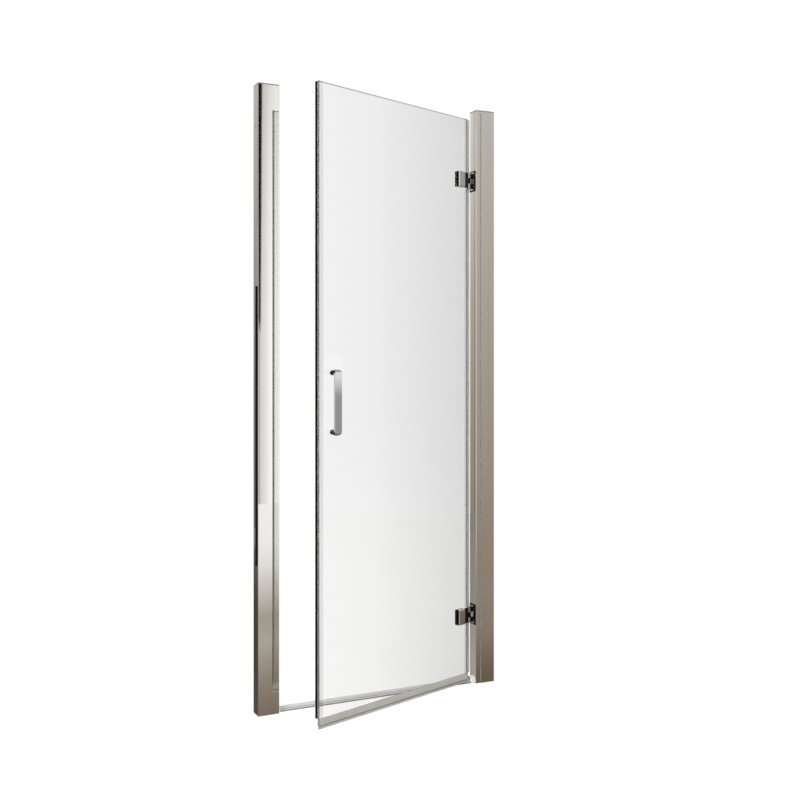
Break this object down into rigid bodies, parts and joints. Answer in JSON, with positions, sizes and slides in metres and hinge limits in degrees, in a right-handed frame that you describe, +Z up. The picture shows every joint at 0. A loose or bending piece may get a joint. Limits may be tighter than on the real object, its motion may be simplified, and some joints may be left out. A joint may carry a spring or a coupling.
{
  "type": "hinged shower door",
  "caption": "Framed hinged shower door: a clear glass leaf with edge seals and a pull handle, hung on hinges between polished wall profiles over a low threshold.",
  "frame": {"origin": "on the shower tray under the threshold, at the middle of the overall width and of the posts' depth", "axes": "+X to the hinge side seen from outside, +Y into the shower, +Z up"},
  "size_m": [0.8, 0.25, 1.85],
  "materials": {
    "profile_metal": "polished, mirror bright",
    "cap_plastic": "silver-grey moulded",
    "foot_plastic": "pale moulded",
    "threshold_metal": "bright anodised",
    "hinge_chrome": "polished plating",
    "handle_chrome": "polished plating",
    "steel": "plain",
    "glass": "clear, toughened",
    "clear_seal": "clear flexible PVC",
    "magnet_strip": "black flexible magnet",
    "gasket_rubber": "black, soft",
    "nylon": "natural nylon"
  },
  "bodies": {
    "frame": {"strike_wall_channel": "profile_metal", "strike_post": "profile_metal", "hinge_wall_profile": "profile_metal", "hinge_jamb": "profile_metal", "strike_post_cap": "cap_plastic", "hinge_wall_profile_cap": "cap_plastic", "hinge_jamb_cap": "cap_plastic", "screw_covers": "cap_plastic", "strike_post_foot": "foot_plastic", "hinge_wall_profile_foot": "foot_plastic", "hinge_jamb_foot": "foot_plastic", "threshold_end_strike": "foot_plastic", "threshold_end_hinge": "foot_plastic", "threshold_bar": "threshold_metal", "upper_hinge_plate": "hinge_chrome", "lower_hinge_plate": "hinge_chrome", "upper_hinge_pin": "steel", "lower_hinge_pin": "steel", "profile_screws": "steel", "hinge_plate_screws": "steel", "strike_magnet_carrier": "clear_seal", "strike_magnet": "magnet_strip"},
    "leaf": {"glass_panel": "glass", "free_edge_seal": "clear_seal", "door_magnet": "magnet_strip", "hinge_edge_seal_top": "clear_seal", "hinge_edge_seal_middle": "clear_seal", "hinge_edge_seal_bottom": "clear_seal", "bottom_seal": "clear_seal", "upper_hinge_front_clamp": "hinge_chrome", "lower_hinge_front_clamp": "hinge_chrome", "upper_hinge_back_clamp": "hinge_chrome", "lower_hinge_back_clamp": "hinge_chrome", "front_clamp_gaskets": "gasket_rubber", "back_clamp_gaskets": "gasket_rubber", "clamp_sleeves": "nylon", "clamp_screws": "steel", "hinge_bushes": "nylon", "handle": "handle_chrome", "handle_front_washers": "clear_seal", "handle_back_washers": "clear_seal", "handle_sleeves": "nylon", "handle_bolts": "handle_chrome"}
  },
  "joints": [
    {"name": "door_swing", "type": "hinge", "parent": "frame", "child": "leaf", "pos_m": [0.318, 0, 0.922], "axis": [0, 0, 1], "range_deg": [-19.4, 75.6]}
  ]
}
